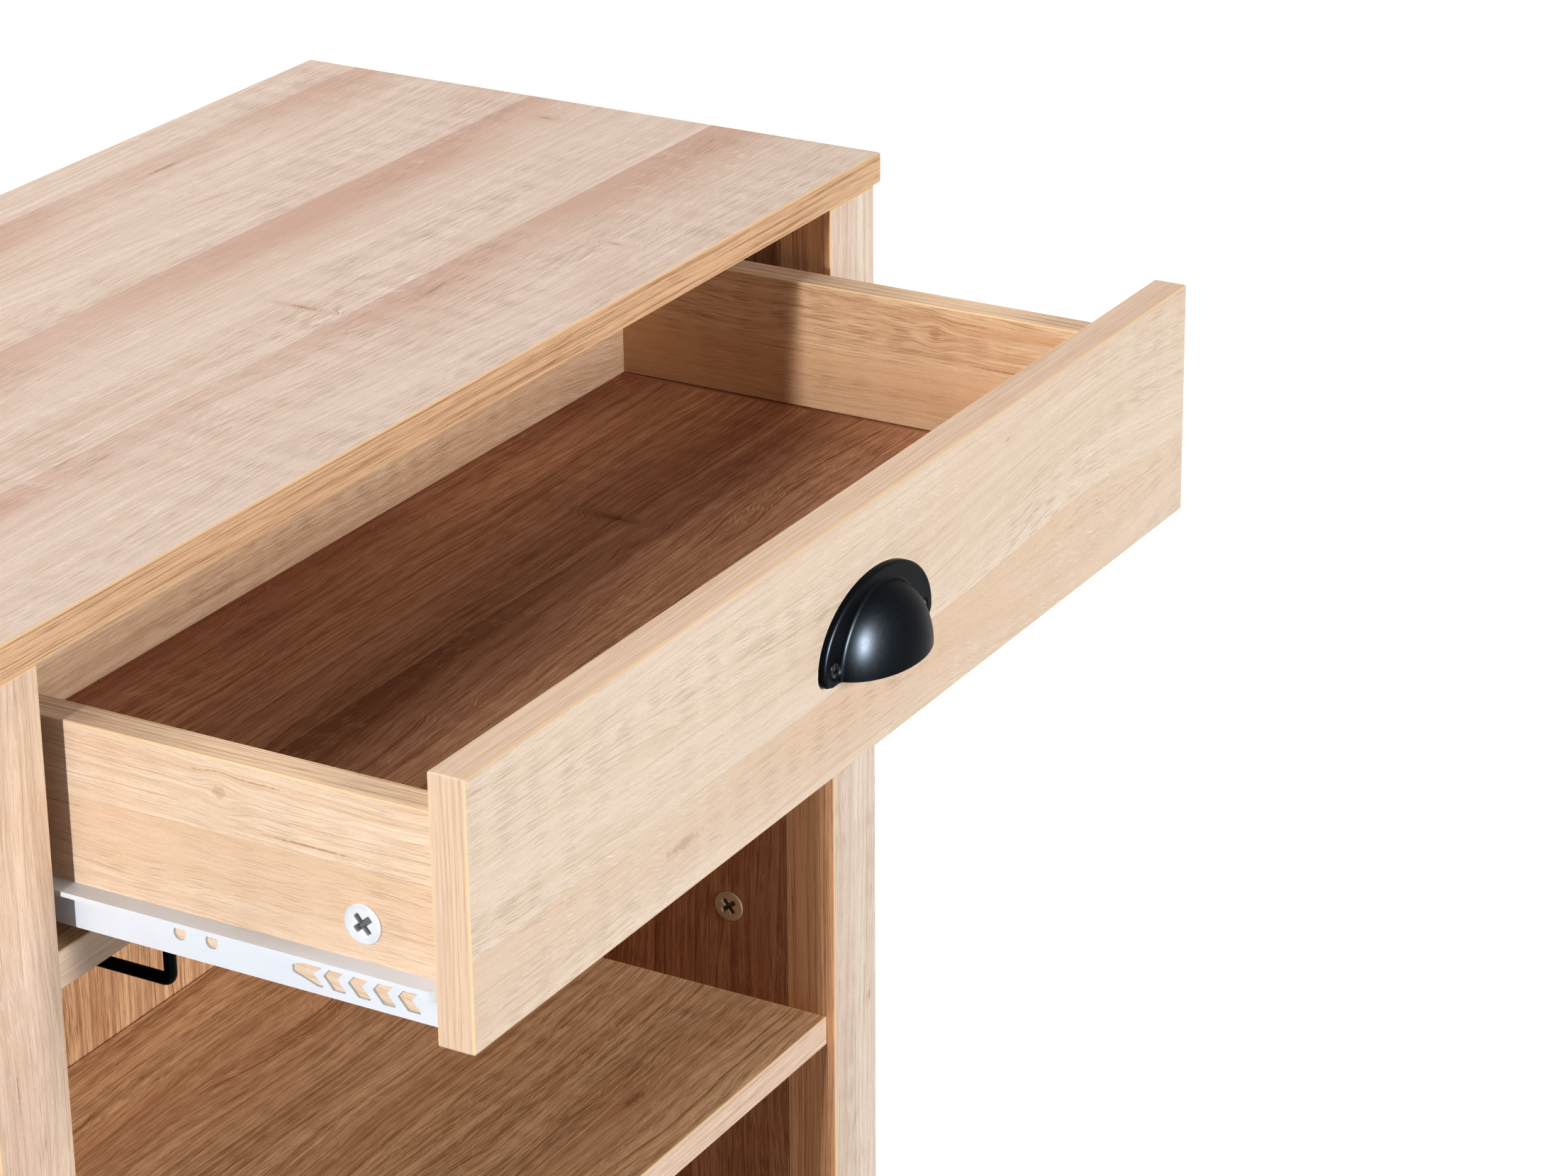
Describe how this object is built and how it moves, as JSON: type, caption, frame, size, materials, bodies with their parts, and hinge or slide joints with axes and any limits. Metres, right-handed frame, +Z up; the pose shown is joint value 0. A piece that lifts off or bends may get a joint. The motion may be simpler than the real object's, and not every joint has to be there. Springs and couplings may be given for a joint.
{
  "type": "sideboard",
  "caption": "Narrow oak-look sideboard with square posts, a full-width drawer on roller runners, a black cup pull, open shelves and wire hanging rails.",
  "frame": {"origin": "on the floor, below the middle of the whole outline with the drawer pulled out", "axes": "+X to the right seen from the front, -Y towards the front where the drawer opens, +Z up"},
  "size_m": [0.7, 0.544, 0.85],
  "materials": {
    "oak_decor": "satin light oak decor on board, pinkish beige with darker streaks and fine pores",
    "printed_board": "thin fibreboard with a matching oak print",
    "cast_zinc": "bright die-cast zinc",
    "zinc_steel": "zinc-plated steel",
    "coated_steel": "cool white powder coat on pressed steel",
    "roller_nylon": "white nylon",
    "black_metal": "satin black lacquer on metal",
    "dowel_beech": "plain beech dowel",
    "glide_plastic": "dark brown nailed glide"
  },
  "bodies": {
    "carcass": {"top_panel": "oak_decor", "side_panel_left": "oak_decor", "side_panel_right": "oak_decor", "front_post_left": "oak_decor", "front_post_right": "oak_decor", "rear_post_left": "oak_decor", "rear_post_right": "oak_decor", "drawer_divider": "oak_decor", "middle_shelf": "oak_decor", "bottom_shelf": "oak_decor", "back_panel": "printed_board", "foot_glides": "glide_plastic", "carcass_cams": "cast_zinc", "carcass_cam_bolts": "zinc_steel", "carcass_dowels": "dowel_beech", "cabinet_runner_left": "coated_steel", "cabinet_runner_right": "coated_steel", "cabinet_runner_screws": "zinc_steel", "cabinet_roller_rivets": "zinc_steel", "hanging_rail_left": "black_metal", "hanging_rail_middle": "black_metal", "hanging_rail_right": "black_metal", "rail_screws": "black_metal"},
    "drawer": {"drawer_front": "oak_decor", "drawer_side_left": "oak_decor", "drawer_side_right": "oak_decor", "drawer_back": "oak_decor", "drawer_bottom": "printed_board", "drawer_runner_left": "coated_steel", "drawer_runner_right": "coated_steel", "drawer_runner_screws": "zinc_steel", "drawer_roller_rivets": "zinc_steel", "drawer_cams": "cast_zinc", "drawer_cam_bolts": "zinc_steel", "drawer_dowels": "dowel_beech", "drawer_back_screws": "zinc_steel", "cup_pull": "black_metal", "pull_screws": "black_metal"},
    "front_roller_left": {"front_roller_left": "roller_nylon"},
    "front_roller_right": {"front_roller_right": "roller_nylon"},
    "rear_roller_left": {"rear_roller_left": "roller_nylon"},
    "rear_roller_right": {"rear_roller_right": "roller_nylon"}
  },
  "joints": [
    {"name": "drawer_slide", "type": "slide", "parent": "carcass", "child": "drawer", "axis": [0, -1, 0], "range_m": [-0.187, 0]},
    {"name": "front_roller_left_turn", "type": "hinge", "parent": "carcass", "child": "front_roller_left", "pos_m": [-0.2928, -0.033, 0.73085], "axis": [1, 0, 0], "continuous": true},
    {"name": "front_roller_right_turn", "type": "hinge", "parent": "carcass", "child": "front_roller_right", "pos_m": [0.2928, -0.033, 0.73085], "axis": [1, 0, 0], "continuous": true},
    {"name": "rear_roller_left_turn", "type": "hinge", "parent": "drawer", "child": "rear_roller_left", "pos_m": [-0.2923, 0.0055, 0.73085], "axis": [1, 0, 0], "continuous": true},
    {"name": "rear_roller_right_turn", "type": "hinge", "parent": "drawer", "child": "rear_roller_right", "pos_m": [0.2923, 0.0055, 0.73085], "axis": [1, 0, 0], "continuous": true}
  ],
  "couplings": [
    {"joint": "front_roller_left_turn", "follows": "drawer_slide", "rad_per_m": 133.33},
    {"joint": "front_roller_right_turn", "follows": "drawer_slide", "rad_per_m": 133.33},
    {"joint": "rear_roller_left_turn", "follows": "drawer_slide", "rad_per_m": 133.33},
    {"joint": "rear_roller_right_turn", "follows": "drawer_slide", "rad_per_m": 133.33}
  ]
}
